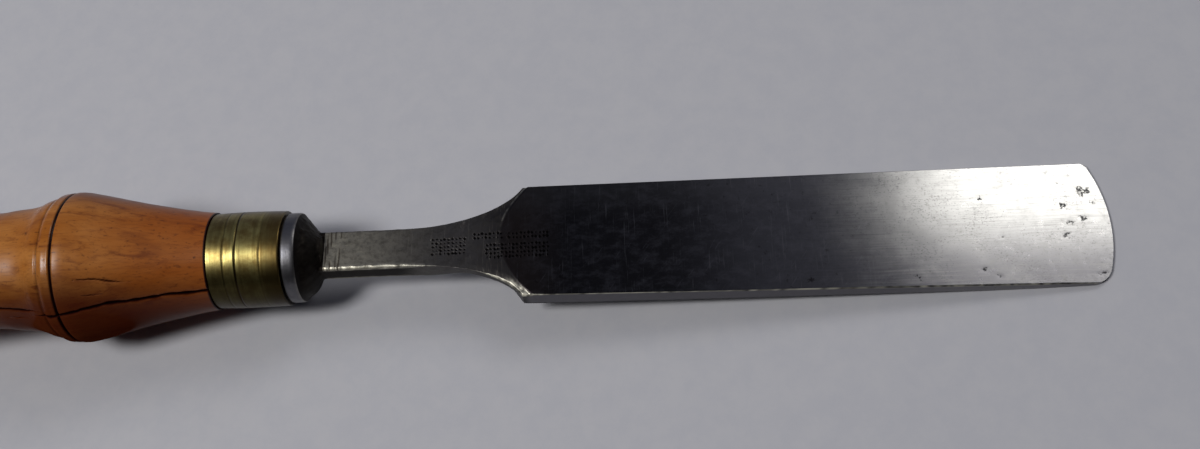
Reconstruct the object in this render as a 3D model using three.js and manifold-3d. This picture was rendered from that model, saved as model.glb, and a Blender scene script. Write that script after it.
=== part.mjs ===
/*
 * Tanged bench chisel with a turned boxwood handle, in millimetres.
 *
 * Three pieces make the tool. The blade is one forging: a tapered square tang, a round
 * bolster, a slim neck and a flat blade that is ground away below towards its edge. The
 * tang is driven into a tapered hole in the handle, whose tenon is held by a brass ferrule.
 *
 * Every piece is drawn along the tool's own axis: +X runs from the handle to the cutting
 * edge, with x = 0 at the joint of ferrule and bolster, and +Z faces away from the bench.
 * The finished tool then lies as it rests on a bench, flat face up, on its bead and on the
 * heel of its long bevel.
 */
import * as THREE from "three";
import { mergeVertices } from "three/addons/utils/BufferGeometryUtils.js";
import Module from "manifold-3d";

// Fit between pieces that touch
const FIT = 0.3;
const JOINT = FIT / 2; // each side of x = 0

const LEAN = 4.547; // degrees, with bead and bevel heel both on the bench

// Blade: plan
const NECK_HALF = 5.1; // half width of the neck
const FLARE_START = 30; // where the neck starts to widen
const FLARE_LENGTH = 28.5; // half axes of the elliptical shoulder
const FLARE_RISE = 13.8;
const SHOULDER = 57; // where the shoulder meets the blade's sides
const EDGE = 197.1; // foremost point of the cutting edge
const WIDTH = 31.75; // one and a quarter inches, across the blade near its edge
const NOSE_RADIUS = 38; // the edge is worn to a shallow curve
const UPPER_CORNER = 2.5; // corner radii of the edge
const LOWER_CORNER = 5;

// Blade: side view
const FACE_HEIGHT = 3.36; // the flat face above the axis, at x = 0
const FACE_FALL = 0.0055; // its fall towards the edge
const NECK_UNDERSIDE = -3;
const BELLY = -2.2; // underside at the shoulder
const HEEL = new THREE.Vector2(172, -0.45); // where the bevel starts
const BEVEL_TURN = new THREE.Vector2(182.6, -0.13);
const EDGE_UNDERSIDE = 1.9;

// The blade was set slightly askew: its centre line crosses the axis on the way to the edge
const ASKEW_AT_SHOULDER = 0.6;
const ASKEW_SLOPE = -0.0125;

// Bolster and tang
const BOLSTER_RADIUS = 10.95;
const BOLSTER_RIM = 3.3; // front of the cylindrical rim
const BOLSTER_FRONT = 8.3; // front of the cone
const BOLSTER_FRONT_RADIUS = 5.2;
const BOLSTER_BREAK = 0.6; // broken rear corner
const TANG_LENGTH = 80;
const TANG_HALF = 3.9; // half side at the bolster
const TANG_END_HALF = 1.5;

// The hole for the tang, in the handle
const HOLE_MOUTH = 2; // its taper is drawn from here, clear of the tenon's front
const HOLE_PLAY = 0.1; // it is a little easier at the mouth
const HOLE_SPARE = 1; // and runs on past the tang's end

// Ferrule
const FERRULE_LENGTH = 17.45;
const FERRULE_RADIUS = 11.55; // outside, at both ends
const FERRULE_CROWN = 0.2; // how far the middle stands proud
const FERRULE_BORE = 10.4;
const FERRULE_RINGS = [-13.4, -10.5]; // incised lines
const RING_DEPTH = 0.12;
const RING_HALF = 0.25;

// Handle
const HANDLE_END = -132;
const BUTT_DOME = 8; // depth of the domed end
const BUTT_RADIUS = 15;
const GROOVE_X = -51.9; // incised line behind the crest of the bead
const GROOVE_HALF = 0.4;
const GROOVE_DEPTH = 0.5;
const BEAD_RADIUS = 18.4;
const SHOULDER_RADIUS = 11.85; // handle behind the ferrule

const ROUND = 48; // facets around turned pieces

const wasm = await Module();
wasm.setup();

/** A closed three.js geometry as a manifold solid. */
function solid(geometry) {
  const shape = geometry.clone();
  shape.deleteAttribute("normal");
  shape.deleteAttribute("uv");
  const merged = mergeVertices(shape, 1e-4);
  return new wasm.Manifold(
    new wasm.Mesh({
      numProp: 3,
      vertProperties: new Float32Array(merged.attributes.position.array),
      triVerts: new Uint32Array(merged.index.array),
    }),
  );
}

/** A manifold solid as a three.js geometry. */
function geometryOf(manifold) {
  const mesh = manifold.getMesh();
  const geometry = new THREE.BufferGeometry();
  geometry.setAttribute("position", new THREE.BufferAttribute(mesh.vertProperties, 3));
  geometry.setIndex(new THREE.BufferAttribute(mesh.triVerts, 1));
  geometry.computeVertexNormals();
  return geometry;
}

/** A piece turned on a lathe: its outline in (radius, x), spun about the tool's axis. */
function turned(outline) {
  return new THREE.LatheGeometry(outline, ROUND).rotateZ(-Math.PI / 2);
}

/** A tapered square bar along the axis, from half sides at x = front and x = back. */
function squareTaper(front, frontHalf, back, backHalf) {
  const length = front - back;
  const bar = new THREE.CylinderGeometry(frontHalf * Math.SQRT2, backHalf * Math.SQRT2, length, 4);
  return bar
    .rotateY(Math.PI / 4)
    .rotateZ(-Math.PI / 2)
    .translate((front + back) / 2, 0, 0);
}

/** Height of the flat face above the axis. */
function faceHeight(x) {
  return FACE_HEIGHT - FACE_FALL * x;
}

/** Neck, shoulders and blade seen from above, before the blade is set askew. */
function bladePlan(start) {
  const half = WIDTH / 2;
  const noseX = EDGE - NOSE_RADIUS;
  const shoulderTurn = Math.acos((SHOULDER - FLARE_START) / FLARE_LENGTH);
  const flareY = NECK_HALF + FLARE_RISE;

  // A rounded corner touches the blade's side and the nose: its centre and the angle of touch
  const corner = (radius) => {
    const y = half - radius;
    const run = Math.sqrt((NOSE_RADIUS - radius) ** 2 - y ** 2);
    return { x: noseX + run, y, turn: Math.atan2(y, run) };
  };
  const upper = corner(UPPER_CORNER);
  const lower = corner(LOWER_CORNER);

  const plan = new THREE.Shape();
  plan.moveTo(start, -NECK_HALF);
  plan.lineTo(FLARE_START, -NECK_HALF);
  plan.absellipse(FLARE_START, -flareY, FLARE_LENGTH, FLARE_RISE, Math.PI / 2, shoulderTurn, true);
  plan.lineTo(lower.x, -half);
  plan.absarc(lower.x, -lower.y, LOWER_CORNER, -Math.PI / 2, -lower.turn, false);
  plan.absarc(noseX, 0, NOSE_RADIUS, -lower.turn, upper.turn, false);
  plan.absarc(upper.x, upper.y, UPPER_CORNER, upper.turn, Math.PI / 2, false);
  plan.lineTo(SHOULDER, flareY - FLARE_RISE * Math.sin(shoulderTurn));
  plan.absellipse(FLARE_START, flareY, FLARE_LENGTH, FLARE_RISE, -shoulderTurn, -Math.PI / 2, true);
  plan.lineTo(start, NECK_HALF);
  return plan;
}

/** Neck and blade seen from the side, as (x, z): the flat face above, the belly and bevel below. */
function bladeElevation(start) {
  const side = new THREE.Shape();
  const sweep = (SHOULDER - FLARE_START) / 2;
  side.moveTo(start, NECK_UNDERSIDE);
  side.lineTo(FLARE_START, NECK_UNDERSIDE);
  side.bezierCurveTo(
    FLARE_START + sweep, NECK_UNDERSIDE, SHOULDER - sweep, BELLY, SHOULDER, BELLY);
  side.quadraticCurveTo((SHOULDER + HEEL.x) / 2, BELLY, HEEL.x, HEEL.y);
  side.quadraticCurveTo(BEVEL_TURN.x, BEVEL_TURN.y, EDGE, EDGE_UNDERSIDE);
  side.lineTo(EDGE + 1, EDGE_UNDERSIDE);
  side.lineTo(EDGE + 1, faceHeight(EDGE + 1));
  side.lineTo(start, faceHeight(start));
  return side;
}

/** Sideways place of the blade's centre line at x. */
function centreLine(x) {
  if (x < FLARE_START) return 0;
  if (x < SHOULDER) {
    return ASKEW_AT_SHOULDER * THREE.MathUtils.smoothstep(x, FLARE_START, SHOULDER);
  }
  return ASKEW_AT_SHOULDER + ASKEW_SLOPE * (x - SHOULDER);
}

/** Moves every point of the forging sideways with its centre line. */
function setAskew(geometry) {
  const place = geometry.attributes.position;
  for (let i = 0; i < place.count; i += 1) {
    place.setY(i, place.getY(i) + centreLine(place.getX(i)));
  }
  return geometry;
}

/** The forging: plan and side view meet in the neck and blade, joined to bolster and tang. */
function makeBlade() {
  const neckRoot = BOLSTER_RIM + 1; // the neck starts inside the cone
  const depth = 2 * WIDTH;
  const plan = new THREE.ExtrudeGeometry(bladePlan(neckRoot), {
    depth, bevelEnabled: false, curveSegments: 10,
  }).translate(0, 0, -depth / 2);
  const elevation = new THREE.ExtrudeGeometry(bladeElevation(neckRoot), {
    depth, bevelEnabled: false, curveSegments: 8,
  }).translate(0, 0, -depth / 2).rotateX(Math.PI / 2);
  const blade = solid(plan).intersect(solid(elevation));

  const bolster = turned([
    new THREE.Vector2(0, JOINT),
    new THREE.Vector2(BOLSTER_RADIUS - BOLSTER_BREAK, JOINT),
    new THREE.Vector2(BOLSTER_RADIUS, JOINT + BOLSTER_BREAK),
    new THREE.Vector2(BOLSTER_RADIUS, BOLSTER_RIM),
    new THREE.Vector2(BOLSTER_FRONT_RADIUS, BOLSTER_FRONT),
    new THREE.Vector2(0, BOLSTER_FRONT),
  ]);
  const tang = squareTaper(BOLSTER_RIM / 2, TANG_HALF, -TANG_LENGTH, TANG_END_HALF);
  const forging = blade.add(solid(bolster)).add(solid(tang));
  return setAskew(geometryOf(forging));
}

/** The ferrule: a short brass tube, a little fuller in the middle, with incised lines. */
function makeFerrule() {
  const front = -JOINT;
  const back = front - FERRULE_LENGTH;
  const middle = (front + back) / 2;
  const radiusAt = (x) => {
    const across = (x - middle) / (FERRULE_LENGTH / 2);
    return FERRULE_RADIUS + FERRULE_CROWN * (1 - across ** 2);
  };
  const outline = [new THREE.Vector2(FERRULE_BORE, back), new THREE.Vector2(radiusAt(back), back)];
  for (const ring of FERRULE_RINGS) {
    outline.push(new THREE.Vector2(radiusAt(ring), ring - RING_HALF));
    outline.push(new THREE.Vector2(radiusAt(ring) - RING_DEPTH, ring));
    outline.push(new THREE.Vector2(radiusAt(ring), ring + RING_HALF));
  }
  outline.push(new THREE.Vector2(radiusAt(middle), middle));
  outline.push(new THREE.Vector2(radiusAt(middle / 2), middle / 2));
  outline.push(new THREE.Vector2(radiusAt(front), front));
  outline.push(new THREE.Vector2(FERRULE_BORE, front));
  outline.push(outline[0].clone());
  return geometryOf(solid(turned(outline)));
}

/** The handle: domed butt, waist, beaded crest and flare, a tenon, and the tang's hole. */
function makeHandle() {
  const tenon = FERRULE_BORE - FIT;
  const shoulderX = -JOINT - FERRULE_LENGTH - FIT;
  const bodyX = HANDLE_END + BUTT_DOME;
  const profile = new THREE.Path();
  profile.absellipse(0, bodyX, BUTT_RADIUS, BUTT_DOME, -Math.PI / 2, 0, false);
  profile.splineThru([
    new THREE.Vector2(16.5, -107),
    new THREE.Vector2(14.35, -75),
    new THREE.Vector2(15.4, -61.5),
    new THREE.Vector2(16.9, -56.4),
  ]);
  profile.lineTo(17.25, -55.4);
  profile.quadraticCurveTo(BEAD_RADIUS - 0.1, -54, BEAD_RADIUS - 0.05, GROOVE_X - GROOVE_HALF);
  profile.lineTo(BEAD_RADIUS - GROOVE_DEPTH, GROOVE_X);
  profile.lineTo(BEAD_RADIUS, GROOVE_X + GROOVE_HALF);
  profile.splineThru([
    new THREE.Vector2(18.2, -49.2),
    new THREE.Vector2(17.5, -45.8),
    new THREE.Vector2(14.75, -34),
    new THREE.Vector2(12.7, -23.5),
    new THREE.Vector2(SHOULDER_RADIUS, shoulderX),
  ]);
  profile.lineTo(tenon, shoulderX);
  profile.lineTo(tenon, -JOINT);
  profile.lineTo(0, -JOINT);

  const hole = squareTaper(
    HOLE_MOUTH, TANG_HALF + FIT + HOLE_PLAY, -TANG_LENGTH - HOLE_SPARE, TANG_END_HALF + FIT);
  return geometryOf(solid(turned(profile.getPoints(3))).subtract(solid(hole)));
}

/** One named piece of the tool. */
function piece(name, geometry, colour, roughness, metalness) {
  const material = new THREE.MeshStandardMaterial({ color: colour, roughness, metalness });
  const mesh = new THREE.Mesh(geometry, material);
  mesh.name = name;
  return mesh;
}

// The tool leans so that the bead and the heel of the bevel touch the bench together
const tool = new THREE.Group();
tool.add(piece("blade", makeBlade(), "#6f6e70", 0.4, 1));
tool.add(piece("ferrule", makeFerrule(), "#8a7a3c", 0.35, 1));
tool.add(piece("handle", makeHandle(), "#b4763a", 0.45, 0));
tool.rotation.y = THREE.MathUtils.degToRad(LEAN);

// The origin is the middle of the tool's footprint, on the bench
const chisel = new THREE.Group();
chisel.add(tool);
chisel.updateMatrixWorld(true);
const room = new THREE.Box3().setFromObject(chisel, true);
tool.position.set(-(room.min.x + room.max.x) / 2, -(room.min.y + room.max.y) / 2, -room.min.z);

export default chisel;
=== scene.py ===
import math

import bpy
import numpy as np
from mathutils import Matrix, Vector


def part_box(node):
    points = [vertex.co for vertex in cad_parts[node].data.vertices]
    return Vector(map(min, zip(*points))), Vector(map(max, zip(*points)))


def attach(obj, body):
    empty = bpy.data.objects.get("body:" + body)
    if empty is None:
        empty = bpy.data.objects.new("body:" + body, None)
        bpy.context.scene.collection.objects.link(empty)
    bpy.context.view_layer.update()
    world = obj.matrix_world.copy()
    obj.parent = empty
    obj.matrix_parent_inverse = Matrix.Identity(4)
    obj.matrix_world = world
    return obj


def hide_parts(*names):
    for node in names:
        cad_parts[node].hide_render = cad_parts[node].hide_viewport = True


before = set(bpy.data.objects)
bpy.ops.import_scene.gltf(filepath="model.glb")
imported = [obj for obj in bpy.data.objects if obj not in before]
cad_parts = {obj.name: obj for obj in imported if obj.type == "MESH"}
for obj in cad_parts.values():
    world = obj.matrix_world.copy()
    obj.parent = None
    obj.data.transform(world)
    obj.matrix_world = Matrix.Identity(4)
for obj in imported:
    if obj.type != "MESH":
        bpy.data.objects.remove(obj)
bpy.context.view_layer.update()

# ---------------------------------------------------------------- the handle
# Boxwood, turned between centres and oiled: a domed butt, a waist, a fillet, a bead with
# an incised line, a flare and a tenon. It was burnt on to the tang, and has shrunk since,
# so it has a long drying crack. A century of hands has left it dark and softly shiny.

# Pieces are drawn along the tool's own axis, in millimetres: along it from the joint of
# ferrule and bolster towards the edge, across the blade, and above it. That axis leans,
# because the tool lies on its bead and on the heel of its bevel.
MM = 0.001
LEAN = math.radians(4.547)
GAP = 0.15  # from the joint to the piece on each side of it
FERRULE_LENGTH = 17.45
AXES = np.array([
    [math.cos(LEAN), 0, -math.sin(LEAN)],
    [0, 1, 0],
    [math.sin(LEAN), 0, math.cos(LEAN)],
])
ferrule_middle = np.mean([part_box("ferrule")[0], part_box("ferrule")[1]], axis=0)
JOINT = ferrule_middle + AXES[0] * (GAP + FERRULE_LENGTH / 2) * MM


def skin(name, rings, marks=None, closed="ends"):
    """A closed mesh over rings of points: rings[i, j] is point j of ring i, as millimetres
    along, across and above the axis. Each ring closes on itself. The first and the last are
    closed by a ladder across them, or by each other if closed is "ring". marks are numbers
    for each point, kept by name for the material."""
    count, size = rings.shape[:2]
    start = np.arange((count if closed == "ring" else count - 1) * size)
    beside = start + 1 - size * ((start + 1) % size == 0)
    whole = count * size
    quads = [np.stack([start, (start + size) % whole, (beside + size) % whole, beside], axis=1)]
    if closed == "ends":
        rung = np.arange(size // 2 - 1)
        ladder = np.stack([rung, rung + 1, size - 2 - rung, size - 1 - rung], axis=1)
        quads += [ladder, ladder[:, ::-1] + (count - 1) * size]
    mesh = bpy.data.meshes.new(name)
    points = JOINT + MM * (rings.reshape(-1, 3) @ AXES)
    mesh.from_pydata(points.tolist(), [], np.concatenate(quads).tolist())
    mesh.shade_smooth()
    mesh.set_sharp_from_angle(angle=math.radians(36))
    for mark, values in (marks or {}).items():
        kept = mesh.attributes.new(mark, "FLOAT", "POINT")
        kept.data.foreach_set("value", values.reshape(-1).astype(np.float32))
    piece = bpy.data.objects.new(name, mesh)
    bpy.context.scene.collection.objects.link(piece)
    return piece


def bump(x, middle, width):
    """A smooth bump, one high and about that half width wide."""
    return np.exp(-(((x - middle) / width) ** 2))


def relief(u, v, seed, cells=64):
    """Smooth random relief between -1 and 1: seeded heights on a lattice, eased between its
    points, which repeats after that many cells."""
    heights = np.random.default_rng(seed).uniform(-1, 1, (cells, cells))
    i, j = np.floor(u).astype(int), np.floor(v).astype(int)
    f, g = u - i, v - j
    f, g = f * f * (3 - 2 * f), g * g * (3 - 2 * g)
    near = heights[i % cells, j % cells] * (1 - f) + heights[(i + 1) % cells, j % cells] * f
    j = j + 1
    far = heights[i % cells, j % cells] * (1 - f) + heights[(i + 1) % cells, j % cells] * f
    return near * (1 - g) + far * g


def spline(knots, steps):
    """A smooth curve through the knots, which passes each one parallel to the line between
    its two neighbours, with that many steps from knot to knot."""
    p = np.pad(np.array(knots, float), ((1, 1), (0, 0)), mode="edge")
    t = np.linspace(0, 1, steps, endpoint=False)[:, None, None]
    before, start, end, after = p[:-3], p[1:-2], p[2:-1], p[3:]
    v, w = (end - before) / 2, (after - start) / 2
    curve = (2 * start - 2 * end + v + w) * t**3 + (3 * end - 3 * start - 2 * v - w) * t**2
    curve = curve + v * t + start
    return np.concatenate([curve.transpose(1, 0, 2).reshape(-1, 2), p[-1:]])


def round_points(x, radius, angle):
    """Points at a place along the axis, at a radius and an angle round it from the top."""
    return np.stack([x + 0 * angle, radius * np.sin(angle), radius * np.cos(angle)], axis=-1)


def square_radius(angle, half):
    """How far the side of a square bar of that half width is from its middle."""
    return half / np.maximum(np.abs(np.cos(angle)), np.abs(np.sin(angle)))


BUTT = -132
DOME = 8
BUTT_RADIUS = 15
BEAD_RADIUS = 18.4
INCISED = -51.9  # the line cut behind the crest of the bead
FILLET = -55.6
HANDLE_FRONT = -1.4 * GAP - FERRULE_LENGTH  # its shoulder, just behind the ferrule
TENON_RADIUS = 10.1
TENON_FRONT = -4 * GAP  # a little short of the ferrule's front
TANG_LENGTH = 80
TANG_HALF = 3.9
TANG_END_HALF = 1.5
HOLE_END = -TANG_LENGTH - 1
HOLE_PLAY = 0.4  # round the tang at the mouth of its hole
HOLE_END_PLAY = 0.3  # and at the hole's end


def handle_profile():
    """The turned outline as (along, radius): half an ellipse at the butt, then smooth curves
    for body, bead and flare, with a fillet and two cut lines taken from them."""
    turn = np.linspace(0.02, math.pi / 2, 28)[:, None]
    dome = np.hstack([BUTT + DOME - DOME * np.cos(turn), BUTT_RADIUS * np.sin(turn)])
    body = spline([(BUTT + DOME, BUTT_RADIUS), (-107, 16.5), (-76, 14.3), (-66.7, 14.8),
                   (-61.7, 15.35), (-57.6, 16.6)], 13)
    bead = spline([(-57.6, 16.6), (-55.2, 17.55), (-53.2, 18.2), (-51, BEAD_RADIUS),
                   (-49, 18.25), (-45.8, 17.55)], 19)
    flare = spline([(-45.8, 17.55), (-34, 14.75), (-23.5, 12.7), (HANDLE_FRONT, 11.88)], 16)
    along, radius = np.concatenate([dome, body[1:], bead[1:], flare[1:]]).T
    radius = radius + 0.2 * bump(along, FILLET - 2.2, 1.1) + 0.2 * bump(along, FILLET + 1.3, 0.75)
    return along, radius - 0.3 * bump(along, FILLET, 0.4) - 0.6 * bump(along, INCISED, 0.34)


def crack(along, angle, radius, route, width):
    """How open a crack is at each point, from 0 to 1. It follows a route of (along, degrees
    round), wanders a little, opens and closes on its way, and thins out at both ends."""
    x, degrees = np.array(route, float).T
    off = np.degrees(angle) - np.interp(along, x, degrees)
    off = np.radians((off + 180) % 360 - 180) * radius
    inside = np.clip(np.minimum(along - x[0], x[-1] - along) / 5, 0, 1)
    wander = 0.14 * relief(along * 1.1, 0 * along + 3.5, seed=8)
    opening = width * inside * (0.8 + 0.35 * relief(along * 0.7, 0 * along + 9.5, seed=9))
    return inside**0.3 * bump(off, wander, np.maximum(opening, 0.02))


# S, R and A hold each point's place along the axis, its radius and its angle round from the
# top. The points crowd round the side where the long crack runs.
CRACK_SIDE = math.radians(-60)
even = np.linspace(0, 2 * math.pi, 360, endpoint=False)
handle_angles = even - 0.72 * np.sin(even - CRACK_SIDE)
along, radius = handle_profile()
S, A = np.meshgrid(along, handle_angles, indexing="ij")
R = np.repeat(radius[:, None], len(handle_angles), axis=1)
cracked = np.maximum.reduce([
    crack(S, A, R, [(-59, -67), (-53.8, -64.8), (-50.5, -62), (-44.9, -59.8), (-40.5, -58.5),
                    (-32.5, -60.2), (-27.5, -58.8), (-21, -61), (-13, -60.5)], 0.5),
    0.9 * crack(S, A, R, [(-86, -61), (-67, -62.7), (-61, -63.7), (-56.5, -61)], 0.42),
    0.7 * crack(S, A, R, [(-67, -74), (-60, -73)], 0.3),
    0.7 * crack(S, A, R, [(-48, -35), (-42.5, -35.2), (-38.5, -39), (-34, -40.8)], 0.22),
    0.6 * crack(S, A, R, [(-46.5, -48), (-40.5, -49)], 0.3),
])
cut = np.maximum(bump(S, INCISED, 0.42), 0.5 * bump(S, FILLET, 0.4))
cut = np.maximum(cut, bump(S, HANDLE_FRONT, 0.3))
wear = 0.06 * relief(S / 9, A / (2 * math.pi) * 8, seed=3, cells=8)
wear = wear + 0.025 * relief(S / 2.5, A / (2 * math.pi) * 32, seed=4, cells=32)
R = R + wear - 0.45 * cracked

# The tenon, then back down the square hole for the tang to its rounded end
inner = [round_points(x, r, handle_angles) for x, r in (
    (HANDLE_FRONT, TENON_RADIUS),
    (TENON_FRONT, TENON_RADIUS),
    (TENON_FRONT, square_radius(handle_angles, TANG_HALF + HOLE_PLAY)),
    (HOLE_END, square_radius(handle_angles, TANG_END_HALF + HOLE_END_PLAY)),
    (HOLE_END - 0.2, TANG_END_HALF),
)]
hidden = np.ones((len(inner), len(handle_angles)))
handle = skin("boxwood_handle", np.concatenate([round_points(S, R, A), inner]), {
    "crack": np.concatenate([cracked, hidden]),
    "cut": np.concatenate([cut, hidden]),
})


def linear(tone):
    """An sRGB hex colour as linear red, green, blue and alpha."""
    parts = [int(tone[i:i + 2], 16) / 255 for i in (1, 3, 5)]
    return [p / 12.92 if p <= 0.04045 else ((p + 0.055) / 1.055) ** 2.4 for p in parts] + [1]


def add(tree, kind, sockets, **settings):
    """Adds a shader node with its settings, gives each input a value or another node's
    output, and returns the node's own output."""
    node = tree.nodes.new("ShaderNode" + kind)
    for key, value in settings.items():
        setattr(node, key, value)
    for key, value in sockets.items():
        socket = node.inputs[key] if isinstance(key, int) else next(
            s for s in node.inputs if s.enabled and s.name == key)
        if isinstance(value, bpy.types.NodeSocket):
            tree.links.new(value, socket)
        else:
            socket.default_value = value
    return next(s for s in node.outputs if s.enabled)


def start_material(name):
    """A new material with its shader, and places on the tool in millimetres as a vector whose
    X runs along the axis."""
    material = bpy.data.materials.new(name)
    material.use_nodes = True
    tree = material.node_tree
    coordinates = tree.nodes.new("ShaderNodeTexCoord").outputs["Object"]
    place = add(tree, "Mapping", {
        "Vector": coordinates, "Location": JOINT, "Rotation": (0, LEAN, 0), "Scale": (MM, MM, MM),
    }, vector_type="TEXTURE")
    return material, tree, tree.nodes["Principled BSDF"], place


def grain(tree, place, size, stretch=(1, 1, 1), **more):
    """Noise whose features are that many millimetres long, along, across and above the axis
    in the proportions of stretch."""
    scaled = add(tree, "Mapping", {"Vector": place, "Scale": [1 / (size * s) for s in stretch]})
    settings = {"Vector": scaled, "Scale": 1.0, "Detail": 3.0, "Roughness": 0.55}
    return add(tree, "TexNoise", settings | more)


def layer(tree, colour, *coats):
    """Lays coats over a colour. Each is (value, low, high, strength, tone): it covers more as
    the value goes from low to high, and at most as far as its strength."""
    for value, low, high, strength, tone in coats:
        cover = add(tree, "MapRange", {
            "Value": value, "From Min": low, "From Max": high, "To Max": strength,
        }, interpolation_type="SMOOTHSTEP")
        colour = add(tree, "Mix", {"Factor": cover, "A": colour, "B": linear(tone)}, data_type="RGBA")
    return colour


def make_boxwood():
    """Oiled boxwood, turned, sanded and handled: a close straight grain, so it looks almost
    even, with flecks of dirt and a warm soft shine. Its pores are too fine to show, so they
    are drawn coarser than real, about 0.3 mm wide."""
    material, tree, shader, place = start_material("oiled boxwood")
    parts = tree.nodes.new("ShaderNodeSeparateXYZ")
    tree.links.new(place, parts.inputs[0])
    along, across = parts.outputs[0], parts.outputs[1]
    cloud = grain(tree, place, 11, (2.2, 1, 1))
    fibre = grain(tree, place, 0.5, (22, 1, 1), Detail=4.0)
    figure = grain(tree, place, 3.4, (7, 1, 1), Distortion=0.5)
    pores = grain(tree, place, 0.6, (2.2, 1, 1), Detail=1.5)
    flecks = grain(tree, place, 1.3, (2.0, 1, 1), Distortion=0.4)
    stain = grain(tree, place, 2.4, (3.5, 1, 1), Detail=5.0, Roughness=0.65, Distortion=0.8)
    cracked = add(tree, "Attribute", {}, attribute_name="crack")
    cut = add(tree, "Attribute", {}, attribute_name="cut")
    colour = layer(
        tree, linear("#95571d"),
        (cloud, 0.35, 0.68, 1.0, "#ae7236"),
        (along, -60, -20, 0.7, "#843f10"),
        (figure, 0.5, 0.72, 0.5, "#6a3312"),
        (fibre, 0.45, 0.75, 0.35, "#5f3013"),
        (stain, 0.52, 0.72, 0.6, "#54210c"),
        (across, 6, 16, 0.65, "#55230a"),
        # painted shade: darker down the near underside, partly dirt and partly the shade under the
        # handle
        (across, -6, -15, 0.9, "#3a0f0a"),
        (pores, 0.6, 0.75, 0.45, "#40190b"),
        (flecks, 0.66, 0.78, 0.8, "#30110a"),
        (cut, 0.2, 0.8, 1.0, "#1b0807"),
        (cracked, 0.03, 0.4, 0.8, "#34110a"),
        (cracked, 0.25, 0.8, 1.0, "#0e0404"),
    )
    tree.links.new(colour, shader.inputs["Base Color"])
    # Hands have rubbed the fillet and the crest of the bead smoother than the rest
    rubbed = add(tree, "Math", {0: along, 1: FILLET}, operation="SUBTRACT")
    rubbed = add(tree, "Math", {0: rubbed}, operation="ABSOLUTE")
    rubbed = add(tree, "MapRange", {"Value": rubbed, "From Min": 2.0, "From Max": 6.0,
                                    "To Min": 0.6, "To Max": 1.0})
    rough = add(tree, "MapRange", {"Value": cloud, "To Min": 0.27, "To Max": 0.45})
    rough = add(tree, "Math", {0: rough, 1: rubbed}, operation="MULTIPLY")
    open_crack = add(tree, "MapRange", {"Value": cracked, "From Min": 0.02, "From Max": 0.3})
    rough = add(tree, "Math", {0: rough, 1: open_crack}, operation="MAXIMUM")
    tree.links.new(rough, shader.inputs["Roughness"])
    # The side that lies on the bench is dull with dirt, and so is a crack
    shine = add(tree, "MapRange", {"Value": across, "From Min": -15.5, "From Max": -9.0, "To Max": 0.22})
    clean = add(tree, "Math", {0: 1.0, 1: open_crack}, operation="SUBTRACT")
    shine = add(tree, "Math", {0: shine, 1: clean}, operation="MULTIPLY")
    tree.links.new(shine, shader.inputs["Specular IOR Level"])
    height = add(tree, "MapRange", {"Value": pores, "From Min": 0.6, "From Max": 0.75,
                                    "To Min": 1.0, "To Max": 0.0})
    height = add(tree, "Math", {0: fibre, 1: height}, operation="ADD")
    normal = add(tree, "Bump", {"Height": height, "Strength": 0.06, "Distance": 0.3 * MM})
    tree.links.new(normal, shader.inputs["Normal"])
    shader.inputs["IOR"].default_value = 1.5
    return material


handle.data.materials.append(make_boxwood())
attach(handle, "root")
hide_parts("handle")


# ---------------------------------------------------------------- the ferrule
# A short tube of brass, turned outside and pressed on the tenon. It has two cut lines and
# the ghost of a third and a brown tarnish, and its sides and underside are painted darker as shade.

FERRULE_BACK = -GAP - FERRULE_LENGTH
FERRULE_RADIUS = 11.55
FERRULE_CROWN = 0.2
FERRULE_BORE = 10.4
LINES = ((-13.4, 0.07), (-10.5, 0.13), (-4.6, 0.035))  # place and depth of each cut line
BREAK = 0.25  # radius of the rounded corners
ferrule_x = FERRULE_BACK + FERRULE_LENGTH / 2


def ferrule_profile():
    """The tube's closed section as (along, radius): up the back, over the outside, down the
    front and through the bore. The crown is a parabola."""
    along = np.linspace(FERRULE_BACK + BREAK, -GAP - BREAK, 200)
    radius = FERRULE_RADIUS + FERRULE_CROWN * (1 - ((along - ferrule_x) / (FERRULE_LENGTH / 2)) ** 2)
    for middle, depth in LINES:
        radius = radius - depth * bump(along, middle, 0.2)
    turn = np.linspace(0, math.pi / 2, 5)[:-1]
    back = np.stack([FERRULE_BACK + BREAK - BREAK * np.cos(turn),
                     radius[0] - BREAK + BREAK * np.sin(turn)], axis=1)
    front = np.stack([-GAP - BREAK + BREAK * np.cos(turn),
                      radius[-1] - BREAK + BREAK * np.sin(turn)], axis=1)[::-1]
    outside = np.stack([along, radius], axis=1)
    bore = [(-GAP, FERRULE_BORE), (FERRULE_BACK, FERRULE_BORE)]
    return np.concatenate([back, outside, front, bore]).T


ferrule_angles = np.linspace(0, 2 * math.pi, 288, endpoint=False)
along, radius = ferrule_profile()
S, A = np.meshgrid(along, ferrule_angles, indexing="ij")
R = np.repeat(radius[:, None], len(ferrule_angles), axis=1)
dents = 0.03 * relief(S / 3.5, A / (2 * math.pi) * 16, seed=21, cells=16)
R = R + np.where(R > FERRULE_BORE, dents, 0)
ferrule = skin("brass_ferrule", round_points(S, R, A), closed="ring")


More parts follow.
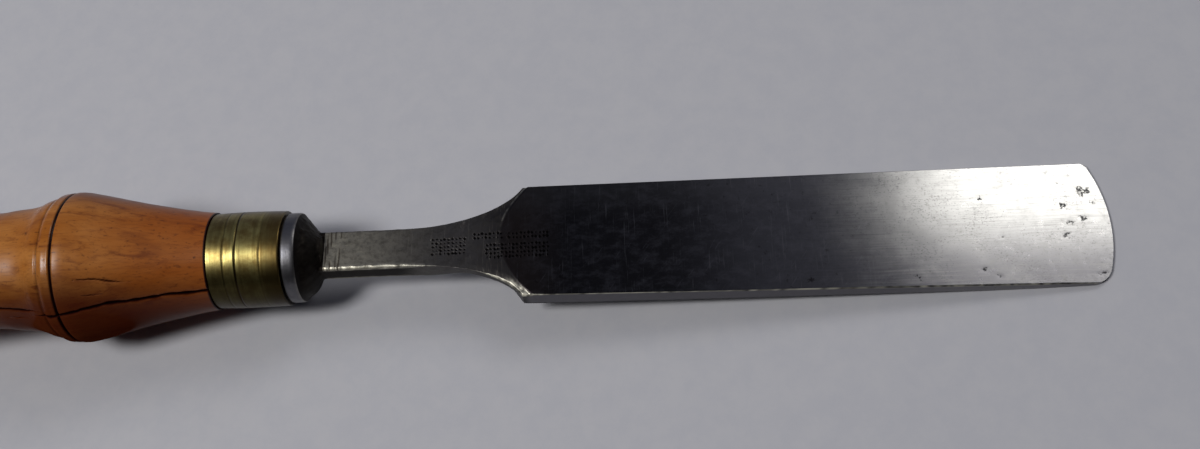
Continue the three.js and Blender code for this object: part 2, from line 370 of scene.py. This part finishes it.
def make_brass():
    """Old turned brass: a satin yellow metal under thin brown tarnish. Fine scratches run
    round it, about 0.1 mm apart and drawn at 0.3 mm to show, and its lines hold dirt."""
    material, tree, shader, place = start_material("tarnished brass")
    parts = tree.nodes.new("ShaderNodeSeparateXYZ")
    tree.links.new(place, parts.inputs[0])
    along, height = parts.outputs[0], parts.outputs[2]
    scratch = grain(tree, place, 0.3, (1, 30, 30), Detail=4.0, Roughness=0.7)
    band = grain(tree, place, 1.6, (1, 12, 12), Detail=2.0)
    cloud = grain(tree, place, 3, Detail=5.0, Roughness=0.65)
    coats = [
        (cloud, 0.35, 0.7, 1.0, "#7d6a3c"),
        (band, 0.45, 0.7, 0.5, "#5f4e2a"),
        (scratch, 0.5, 0.75, 0.45, "#4e4022"),
        (along, -5.4, -2.0, 0.75, "#574222"),
        # painted shade: darker down the sides and underside, so only the crown and its highlight band
        # stay bright
        (height, 11.0, 4.5, 0.85, "#1d1709"),
    ]
    for middle, depth in LINES:
        off = add(tree, "Math", {0: along, 1: middle}, operation="SUBTRACT")
        off = add(tree, "Math", {0: off}, operation="ABSOLUTE")
        coats.append((off, 0.4, 0.12, min(1, 7 * depth), "#2a1f10"))
    colour = layer(tree, linear("#a0945c"), *coats)
    tree.links.new(colour, shader.inputs["Base Color"])
    rough = add(tree, "MapRange", {"Value": scratch, "To Min": 0.24, "To Max": 0.45})
    tree.links.new(rough, shader.inputs["Roughness"])
    normal = add(tree, "Bump", {"Height": scratch, "Strength": 0.3, "Distance": 0.05 * MM})
    tree.links.new(normal, shader.inputs["Normal"])
    shader.inputs["Metallic"].default_value = 1
    return material


ferrule.data.materials.append(make_brass())
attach(ferrule, "root")
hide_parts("ferrule")


# ---------------------------------------------------------------- the blade
# One forging of tool steel: a square tang, a round bolster, a slim neck and a blade that
# is ground flat above, and thinner towards the edge below. Neck and shoulders keep the
# marks of hammer and file. The face is dark with age, and lapped bright by the edge.

NECK_HALF = 5.1
FLARE_START = 30
FLARE_LENGTH = 28.5
FLARE_RISE = 13.8
SHOULDER = 57
EDGE = 197.1
HALF_WIDTH = 31.75 / 2
NOSE_RADIUS = 38
NOSE_X = EDGE - NOSE_RADIUS
CORNERS = ((1, 2.5), (-1, 5.0))  # each side of the edge, and its corner's radius
BOLSTER_RADIUS = 10.95
BOLSTER_RIM = 3.3
BOLSTER_FRONT = 8.3
BOLSTER_FRONT_RADIUS = 5.2
NOSE_START = 150  # from here the rows of points bend towards the shape of the edge
LAST_ROW = 191  # this row lies along the edge itself
HEEL = (172, -0.45)  # where the bevel starts, and how high
BELLY_HEIGHT = -2.2  # of the underside at the shoulders
BOLSTER_BACK = -0.8 * GAP


def ease(x, low, high):
    """A smooth step from 0 at low to 1 at high."""
    t = np.clip((x - low) / (high - low), 0, 1)
    return t * t * (3 - 2 * t)


def arch(x, start, turn, end):
    """Height at x of the quadratic Bezier curve over three points (x, height)."""
    t = np.linspace(0, 1, 200)[:, None]
    curve = (1 - t) ** 2 * np.array(start) + 2 * t * (1 - t) * np.array(turn) + t**2 * np.array(end)
    return np.interp(x, curve[:, 0], curve[:, 1])


def face_height(x):
    """Height of the flat face above the axis."""
    return 3.36 - 0.0055 * x


def underside(x):
    """Height of the underside: the level neck, a belly that thins the blade, and the bevel."""
    neck = -3 + 0.8 * ease(x, FLARE_START, SHOULDER)
    belly = arch(x, (SHOULDER, BELLY_HEIGHT), (114.5, BELLY_HEIGHT), HEEL)
    bevel = arch(x, HEEL, (182.6, -0.13), (EDGE, 1.9))
    return np.where(x < SHOULDER, neck, np.where(x < HEEL[0], belly, bevel))


def half_width(x):
    """Half the width of neck, shoulders and blade: each shoulder is a quarter of an ellipse."""
    turn = np.clip(x - FLARE_START, 0, SHOULDER - FLARE_START) / FLARE_LENGTH
    flare = NECK_HALF + FLARE_RISE * (1 - np.sqrt(1 - turn**2))
    return flare + (HALF_WIDTH - flare) * np.clip((x - SHOULDER) / (190 - SHOULDER), 0, 1)


def centre_line(x):
    """How far the blade's middle is from the axis: it was set slightly askew."""
    return np.where(x < SHOULDER, 0.6 * ease(x, FLARE_START, SHOULDER), 0.6 - 0.0125 * (x - SHOULDER))


def edge_line(y):
    """How far along the blade ends at a place across it: an arc with two round corners."""
    end = NOSE_X + np.sqrt(NOSE_RADIUS**2 - np.minimum(np.abs(y), HALF_WIDTH) ** 2)
    for side, radius in CORNERS:
        corner_y = HALF_WIDTH - radius
        corner_x = NOSE_X + math.sqrt((NOSE_RADIUS - radius) ** 2 - corner_y**2)
        out = np.clip(side * y - corner_y, 0, radius)
        touch = corner_y * NOSE_RADIUS / (NOSE_RADIUS - radius)
        end = np.where(side * y > touch, corner_x + np.sqrt(radius**2 - out**2), end)
    return end


def ring_layout():
    """Where each point of a blade ring lies: t from -1 to 1 across the flat, e from 0 to 1
    over the broken edge, and q from 0 above to 1 below. It starts in the middle of one side
    wall, goes over the top and comes back below. Points crowd in the middle, where the
    punch marks are, and at the sides, where the edge has its corners."""
    half = np.concatenate([
        np.linspace(0, 0.33, 24), np.linspace(0.33, 0.68, 10)[1:],
        0.68 + 0.32 * np.sin(np.linspace(0, math.pi / 2, 22))[1:]])
    flat = np.concatenate([-half[:0:-1], half])
    wall = np.linspace(0, 0.5, 6)[1:-1]
    left = [(-1, 1, q) for q in wall[::-1]] + [(-1, e, 0) for e in (1, 0.75, 0.5, 0.25)]
    top = np.concatenate([left, [(t, 0, 0) for t in flat], [(-t, e, q) for t, e, q in left[::-1]]])
    return np.concatenate([top, [(t, e, 1 - q) for t, e, q in top[::-1]]]).T


def punch_marks(x, y):
    """How deep the decorative punch marks are, from 0 to 1: blocks of small lozenges, struck
    unevenly. Each block is (left, right, low, high, columns, rows). A lozenge is where the
    distances from its middle, along and across, add up to less than its size."""
    depth = 0 * x
    chance = np.random.default_rng(31)
    for left, right, low, high, columns, rows in (
        (34.8, 43.4, -2.6, 2.2, 9, 5), (44.9, 52.4, 1.1, 3.3, 8, 2), (48.0, 63.6, -4.0, 0.2, 17, 4),
        (53.4, 63.6, 0.9, 3.1, 11, 2),
    ):
        size = chance.uniform(0.3, 0.56, (columns, rows))
        shift = chance.uniform(-0.12, 0.12, (2, columns, rows))
        u, v = (x - left) / (right - left) * columns, (y - low) / (high - low) * rows
        inside = (u > 0) & (u < columns) & (v > 0) & (v < rows)
        i = np.clip(np.floor(u), 0, columns - 1).astype(int)
        j = np.clip(np.floor(v), 0, rows - 1).astype(int)
        off = np.abs(u - i - 0.5 - shift[0, i, j]) + np.abs(v - j - 0.5 - shift[1, i, j])
        depth = np.maximum(depth, np.where(inside, np.clip((size[i, j] - off) * 5, 0, 1), 0))
    return depth


def pits(x, y):
    """How deep rust has bitten, from 0 to 1: a few pits of (along, across, size), with ragged
    outlines."""
    depth = 0 * x
    for px, py, size in (
        (186.4, 9.5, 0.7), (186.7, 3.5, 1.4), (187.4, -1.1, 1.1), (186.5, -4.7, 1.2), (191.1, -0.1, 1.3),
        (192.2, 7.6, 2.0), (193.8, 4.2, 0.8), (167.6, 6.5, 1.1), (171.4, -4, 0.5), (165.8, -12.4, 1.0),
        (169.2, -14.1, 0.8), (150.1, -13.7, 0.9), (125.2, -13.2, 1.3), (119.1, -12.8, 0.9),
        (66.4, -9.6, 1.2), (192.6, -14.2, 1.3),
    ):
        far = np.hypot((x - px) * 0.8, y - py) / (1.3 * size)
        depth = np.maximum(depth, np.clip(1.2 - far + 0.5 * relief(x * 1.6, y * 1.6, seed=41), 0, 1))
    return depth


# N is the row a point belongs to, and S, Y and H are its places along, across and above the
# axis. Rows crowd at the bolster and at the shoulders, where the detail is.
T, E, Q = ring_layout()
stations = np.concatenate([
    np.linspace(8.9, 14.3, 28)[:-1], np.linspace(14.3, 33, 36)[:-1], np.linspace(33, 66, 160)[:-1],
    np.linspace(66, NOSE_START, 62)[:-1], np.linspace(NOSE_START, LAST_ROW, 80),
])
N, T = np.meshgrid(stations, T, indexing="ij")
width = half_width(N)
# Edges are broken with a file: 0.5 mm on the neck, and worn wider on the lower side
broken = 0.12 + 0.4 * (1 - ease(N, 22, 36))
lower = 0.2 * (1 - ease(N, 28, 40)) + 0.6 * bump(N, 54, 5) + 0.25 * ease(N, 90, 150)
broken = broken + (T < 0) * lower * (1 - 0.5 * ease(N, 180, LAST_ROW))
broken = broken * (1 + 0.25 * relief(N * 0.9, 0 * N + 2.5, seed=54) * (1 - ease(N, 56, 60)))
Y = T * (width - broken) + np.sign(T) * (broken * E + 0.03 * np.sin(np.pi * Q))
drop = broken * (0.25 * E + 0.3 * E**2)
S = N + (edge_line(Y) - LAST_ROW) * np.clip((N - NOSE_START) / (LAST_ROW - NOSE_START), 0, 1)
Y = Y + centre_line(S)
# Ground flat from a curved boundary at the shoulders on; forged, and a little lower, behind
boundary = 51.6 + 0.034 * (Y - 1.2) ** 2
ground = ease(S - boundary, -0.25, 0.35)
top = face_height(S) - (1 - ground) * (0.07 + 0.012 * np.clip(boundary - S, 0, 9))
top = top - (1 - ground) * 0.35 * ease(np.abs(Y) / width, 0.72, 1.0) * ease(S, 40, 56)
top = top + (1 - ground) * 0.05 * relief(S * 0.6, Y * 0.35, seed=51)
top = top + (1 - ground) * 0.02 * relief(S * 1.7, Y * 1.2, seed=55)
# File strokes across the neck, just in front of the bolster
filed = 0 * S
for k, x in enumerate((9.2, 9.75, 10.5, 11.5, 12.6)):
    stroke = bump(S + 0.25 * relief(Y * 0.4, 0 * Y + k, seed=52), x, 0.22)
    filed = np.maximum(filed, stroke * np.clip(0.55 + relief(Y * 0.5, 0 * Y + k + 8, seed=53), 0, 1))
top = top - 0.06 * filed
punched, bitten = punch_marks(S, Y), pits(S, Y)
top = top - 0.1 * punched - 0.02 * bitten**3
# The side walls are low along neck and flare, and lowest on the flare: there the underside
# slopes up to them over the last millimetres. On the blade they are as high as it is thick.
FLARE_WALL = 2.35
WALL_GAIN = 3.2  # added to it towards the neck and the shoulder
WHOLE_WALL = 9  # more than the metal is thick
WALL_SLOPE = 3.4
wall = FLARE_WALL + WALL_GAIN * (1 - ease(S, 33, 45)) + WALL_GAIN * ease(S, 54.6, 57.2)
wall = np.where(S < SHOULDER, wall, WHOLE_WALL)
lift = np.maximum(top - wall - underside(S), 0)
slope = np.clip((np.abs(Y - centre_line(S)) - width + WALL_SLOPE) / WALL_SLOPE, 0, 1)
below = underside(S) + lift * slope
H = np.where(Q < 0.5, top - drop, below + drop)
side = (Q > 0) & (Q < 1)
H = np.where(side, (top - broken) * (1 - Q) + (below + broken) * Q, H)
blade_rings = np.stack([S, Y, H], axis=-1)

# Painted lighter, partly as metal rubbed bare and partly as painted glints: the lower broken
# edge of neck, shoulder and blade, the forged corner beside it, and a painted glint line along
# the far half of the ground boundary
worn = (T < 0) * np.clip(0.2 * (E > 0) + 0.5 * bump(T, -1, 0.16), 0, 1) * (1 - ease(S, 30, 40))
worn = np.maximum(worn, (T < 0) * (E > 0) * np.maximum(ease(S, 44, 50), ease(S, 56, 57)))
worn = np.maximum(worn, (1 - ground) * (T < 0) * ease(np.abs(T), 0.8, 1) * ease(S, 50, 57))
worn = np.maximum(worn, 0.6 * bump(S - boundary, -0.35, 0.35) * ease(Y, 1, 8))
worn = worn * (0.7 + 0.45 * relief(S * 1.3, Y * 1.1, seed=56))
worn = np.where(side, 0, worn)

# Tang and bolster are round or square rings at the angles of the first ring of the neck
neck = blade_rings[0]
A = np.arctan2(neck[:, 1], neck[:, 2])
neck_radius = np.hypot(neck[:, 1], neck[:, 2])
tang = [round_points(x, r, A) for x, r in (
    (-TANG_LENGTH, 0.8 * TANG_END_HALF),
    (0.3 - TANG_LENGTH, square_radius(A, TANG_END_HALF)),
    (BOLSTER_BACK, square_radius(A, TANG_HALF)),
)]
rim = [round_points(x, BOLSTER_RADIUS - drop, A) for x, drop in (
    (BOLSTER_BACK, 1.1), (BOLSTER_BACK, 0.45), (0.1, 0.25), (0.4, 0.09), (0.7, 0.02), (0.95, 0),
    (2.3, 0), (3.05, 0.02), (BOLSTER_RIM, 0.12))]
cone_x = np.concatenate([np.linspace(BOLSTER_RIM + 0.15, BOLSTER_FRONT, 26),
                         BOLSTER_FRONT + np.array([0.12, 0.25, 0.4])])
cone_radius = np.interp(cone_x, (BOLSTER_RIM, 4.3, 5.5, 6.65, 7.5, BOLSTER_FRONT, BOLSTER_FRONT + 0.4),
                        (BOLSTER_RADIUS - 0.1, 9.65, 8.55, 7.0, 5.7, BOLSTER_FRONT_RADIUS, 2.6))
X, A2 = np.meshgrid(cone_x, A, indexing="ij")
rough = 0.2 * relief(X * 1.1, A2 / (2 * math.pi) * 36, seed=61, cells=36)
rough = rough + 0.09 * relief(X * 2.6, A2 / (2 * math.pi) * 90, seed=62, cells=90)
rough = rough * ease(X, BOLSTER_RIM, BOLSTER_RIM + 1) - 0.6 * np.sin(A2) * bump(X, 5.8, 1.5)
cone = round_points(X, np.maximum(cone_radius[:, None] + rough, neck_radius), A2)
# Most marks are kept on the upper side only. Ground covers the blade's underside too,
# scale_and_shade is black oxide from the forge on the cone and painted shade on the sides of
# the neck, and flank is on the side walls of the blade.
rings = np.concatenate([tang, rim, cone, blade_rings])
before = len(rings) - len(blade_rings)
scaly = np.zeros((before, len(A)))
scaly[len(tang) + len(rim):] = 1
nothing = np.zeros((before, len(A)))
upper = Q < 0.5
blade = skin("steel_blade", rings, {
    "ground": np.concatenate([nothing, np.where(upper, ground, ease(S, 55, 58))]),
    "punched": np.concatenate([nothing, punched * upper]),
    "filed": np.concatenate([nothing, filed * upper]),
    "bitten": np.concatenate([nothing, bitten * upper]),
    # the neck's side walls get it as painted shade, where they face the shadowed floor
    "scale_and_shade": np.concatenate([scaly, side * (1 - ease(S, 24, 40))]),
    "worn": np.concatenate([nothing, worn * upper]),
    "flank": np.concatenate([nothing, side * ease(S, 56, 60)]),
})


def make_steel():
    """Old forged tool steel: black scale on the bolster's cone, filed grey on the neck, near
    black patina on the face, and lapped bright by the edge. Grinding scratches run along
    the bright part, and lie across in the dark one. They are about 0.1 mm apart and drawn
    at 0.35 mm, and the specks are as coarse, so that they show."""
    material, tree, shader, place = start_material("tool steel with patina")
    parts = tree.nodes.new("ShaderNodeSeparateXYZ")
    tree.links.new(place, parts.inputs[0])
    along, across = parts.outputs[0], parts.outputs[1]
    marks = {name: add(tree, "Attribute", {}, attribute_name=name)
             for name in ("ground", "punched", "filed", "bitten", "scale_and_shade", "flank", "worn")}
    cloud = grain(tree, place, 9, Detail=5.0, Roughness=0.6)
    mottle = grain(tree, place, 1.6, Detail=5.0, Roughness=0.7)
    lengthwise = grain(tree, place, 0.35, (40, 1, 1), Detail=4.0, Roughness=0.7)
    crosswise = grain(tree, place, 0.35, (1, 30, 1), Detail=4.0, Roughness=0.7)
    diagonal = add(tree, "Mapping", {"Vector": place, "Rotation": (0, 0, 0.6)})
    diagonal = grain(tree, diagonal, 0.3, (1, 25, 1), Detail=3.0)
    smudge = grain(tree, place, 2.8, (1.6, 1, 1), Detail=6.0, Roughness=0.75)
    speck = grain(tree, place, 0.35, (1.5, 1, 1), Detail=3.0)
    patch = grain(tree, place, 6, (1.5, 1, 1))
    patch = add(tree, "MapRange", {"Value": patch, "To Min": 0.7, "To Max": 1.3})
    speck = add(tree, "Math", {0: speck, 1: patch}, operation="MULTIPLY")

    forged = layer(
        tree, linear("#9d9787"),
        (along, 9, 40, 0.9, "#3d3b3e"),
        (along, 42, 52, 0.6, "#262325"),
        (mottle, 0.42, 0.66, 0.55, "#3a3734"),
        (smudge, 0.5, 0.7, 0.5, "#2b2826"),
        (crosswise, 0.55, 0.75, 0.3, "#a39d8d"),
        (along, 5, 2.5, 0.85, "#5a5a61"),
    )
    dark = layer(
        tree, linear("#17171a"),
        (smudge, 0.42, 0.68, 0.6, "#313136"),
        (along, 70, 54, 0.5, "#2e2725"),
        (across, 4, 15, 0.35, "#37373a"),
        (along, 88, 118, 0.45, "#3c3c42"),
        (crosswise, 0.58, 0.76, 0.55, "#4e4e52"),
        (diagonal, 0.64, 0.8, 0.4, "#4e4e54"),
        (mottle, 0.58, 0.72, 0.5, "#0f0e0e"),
    )
    bright = layer(
        tree, linear("#c6c4be"),
        # painted shade: the lapped face darkens towards the near edge, where the lamp's reflection fades
        (across, 8, -15, 0.88, "#615f63"),
        (cloud, 0.5, 0.8, 0.4, "#a5a39e"),
        (lengthwise, 0.42, 0.72, 0.55, "#85837f"),
        (smudge, 0.52, 0.72, 0.4, "#8b8984"),
        (mottle, 0.55, 0.75, 0.4, "#86847f"),
        (speck, 0.56, 0.72, 0.5, "#5a5856"),
    )
    wander = add(tree, "MapRange", {"Value": cloud, "To Min": -6.0, "To Max": 6.0})
    streak = add(tree, "MapRange", {"Value": lengthwise, "To Min": -7.0, "To Max": 7.0})
    reach = add(tree, "Math", {0: along, 1: wander}, operation="ADD")
    reach = add(tree, "Math", {0: reach, 1: streak}, operation="ADD")
    lapped = add(tree, "MapRange", {"Value": reach, "From Min": 112, "From Max": 166},
                 interpolation_type="SMOOTHSTEP")
    lapped = add(tree, "Math", {0: lapped, 1: 2.7}, operation="POWER")
    ragged = grain(tree, place, 0.6, Detail=4.0, Roughness=0.75)
    rust = add(tree, "Math", {0: marks["bitten"], 1: ragged}, operation="MULTIPLY")
    faced = add(tree, "Mix", {"Factor": lapped, "A": dark, "B": bright}, data_type="RGBA")
    colour = add(tree, "Mix", {"Factor": marks["ground"], "A": forged, "B": faced}, data_type="RGBA")
    colour = layer(
        tree, colour,
        # bare metal where rubbed, and painted glints along the edges and the ground boundary
        (marks["worn"], 0.1, 0.9, 0.8, "#c4c0b1"),
        (marks["filed"], 0.1, 0.8, 0.7, "#33271d"),
        (marks["flank"], 0.2, 0.9, 0.6, "#7b797e"),
        # black oxide on the cone, and painted shade on the sides of the neck
        (marks["scale_and_shade"], 0.3, 0.9, 0.96, "#130e0d"),
        (marks["punched"], 0.15, 0.5, 0.95, "#070606"),
        (rust, 0.34, 0.54, 0.95, "#151416"),
    )
    tree.links.new(colour, shader.inputs["Base Color"])
    rough = add(tree, "MapRange", {"Value": mottle, "To Min": 0.3, "To Max": 0.5})
    polish = add(tree, "MapRange", {"Value": lapped, "To Min": 0.0, "To Max": -0.1})
    rough = add(tree, "Math", {0: rough, 1: polish}, operation="ADD")
    for mark in ("worn", "scale_and_shade"):
        dull = add(tree, "Math", {0: marks[mark], 1: 0.58}, operation="MULTIPLY")
        rough = add(tree, "Math", {0: rough, 1: dull}, operation="MAXIMUM")
    tree.links.new(rough, shader.inputs["Roughness"])
    uneven = add(tree, "MapRange", {"Value": marks["ground"], "To Min": 0.55, "To Max": 0.08})
    normal = add(tree, "Bump", {"Height": mottle, "Strength": uneven, "Distance": 0.1 * MM})
    tree.links.new(normal, shader.inputs["Normal"])
    shader.inputs["Metallic"].default_value = 1
    return material


blade.data.materials.append(make_steel())
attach(blade, "root")
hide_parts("blade")


# ---------------------------------------------------------------- the floor
# A sheet of pale grey card that the tool lies on, matt and with the faintest mottling. It lies
# flat and loose, and its sides are far from the tool.

FLOOR_HALF = 1.5
STEPS = 24
grid = np.linspace(-FLOOR_HALF, FLOOR_HALF, STEPS + 1)
X, Y = np.meshgrid(grid, grid, indexing="ij")
corner = (np.arange(STEPS)[:, None] * (STEPS + 1) + np.arange(STEPS)).reshape(-1)
mesh = bpy.data.meshes.new("floor")
mesh.from_pydata(
    np.stack([X, Y, 0 * X], axis=-1).reshape(-1, 3).tolist(), [],
    np.stack([corner, corner + STEPS + 1, corner + STEPS + 2, corner + 1], axis=1).tolist())
floor = bpy.data.objects.new("floor", mesh)
bpy.context.scene.collection.objects.link(floor)


def make_card():
    """Pale grey card: matt and even, with a trace of mottling a few millimetres across."""
    material, tree, shader, place = start_material("grey card")
    mottle = grain(tree, place, 6, Detail=5.0, Roughness=0.7)
    colour = layer(tree, linear("#b6b5b8"), (mottle, 0.3, 0.7, 0.5, "#adadb3"))
    tree.links.new(colour, shader.inputs["Base Color"])
    shader.inputs["Roughness"].default_value = 0.85
    shader.inputs["Specular IOR Level"].default_value = 0.2
    return material


floor.data.materials.append(make_card())


# ---------------------------------------------------------------- light and camera
# A soft lamp above, to the left in front, and a weaker one to the right behind, in a room
# that is darker in front.

TOOL_MIDDLE = Vector((0.03, 0, 0.01))


def lamp(name, direction, distance, width, depth, power):
    """A soft lamp at a distance in a direction, turned to the middle of the tool. Its sizes
    are in metres and its power is in watts."""
    light = bpy.data.lights.new(name, "AREA")
    light.shape = "RECTANGLE"
    light.size = width
    light.size_y = depth
    light.energy = power
    made = bpy.data.objects.new(name, light)
    toward = Vector(direction).normalized()
    made.location = TOOL_MIDDLE + distance * toward
    made.rotation_euler = toward.to_track_quat("Z", "Y").to_euler()
    bpy.context.scene.collection.objects.link(made)


lamp("left_lamp", (-0.5, -0.22, 0.84), 1.2, 0.25, 0.4, 9.2)
lamp("right_lamp", (0.47, 0.55, 0.69), 1.2, 0.5, 0.5, 3.5)

world = bpy.data.worlds.new("dim room")
world.use_nodes = True
room = world.node_tree
parts = room.nodes.new("ShaderNodeSeparateXYZ")
room.links.new(room.nodes.new("ShaderNodeTexCoord").outputs["Generated"], parts.inputs[0])
background = room.nodes["Background"]
sky = layer(room, linear("#0d0d13"), (parts.outputs[1], -0.7, 0.8, 1.0, "#666a7b"))
room.links.new(sky, background.inputs["Color"])
background.inputs["Strength"].default_value = 1.0
bpy.context.scene.world = world

# The camera is in front, 0.29 m above the card, and looks steeply down on the blade
camera_data = bpy.data.cameras.new("camera")
camera_data.sensor_width = 36
camera_data.lens = 39
camera_data.clip_start = 0.01
camera = bpy.data.objects.new("camera", camera_data)
turn = (Matrix.Rotation(0.11974, 4, "Y") @ Matrix.Rotation(0.46333, 4, "X")
        @ Matrix.Rotation(-0.027639, 4, "Z"))
camera.matrix_world = Matrix.Translation((0.07701, -0.13676, 0.29062)) @ turn
bpy.context.scene.collection.objects.link(camera)
bpy.context.scene.camera = camera
bpy.context.scene.view_settings.view_transform = "Standard"
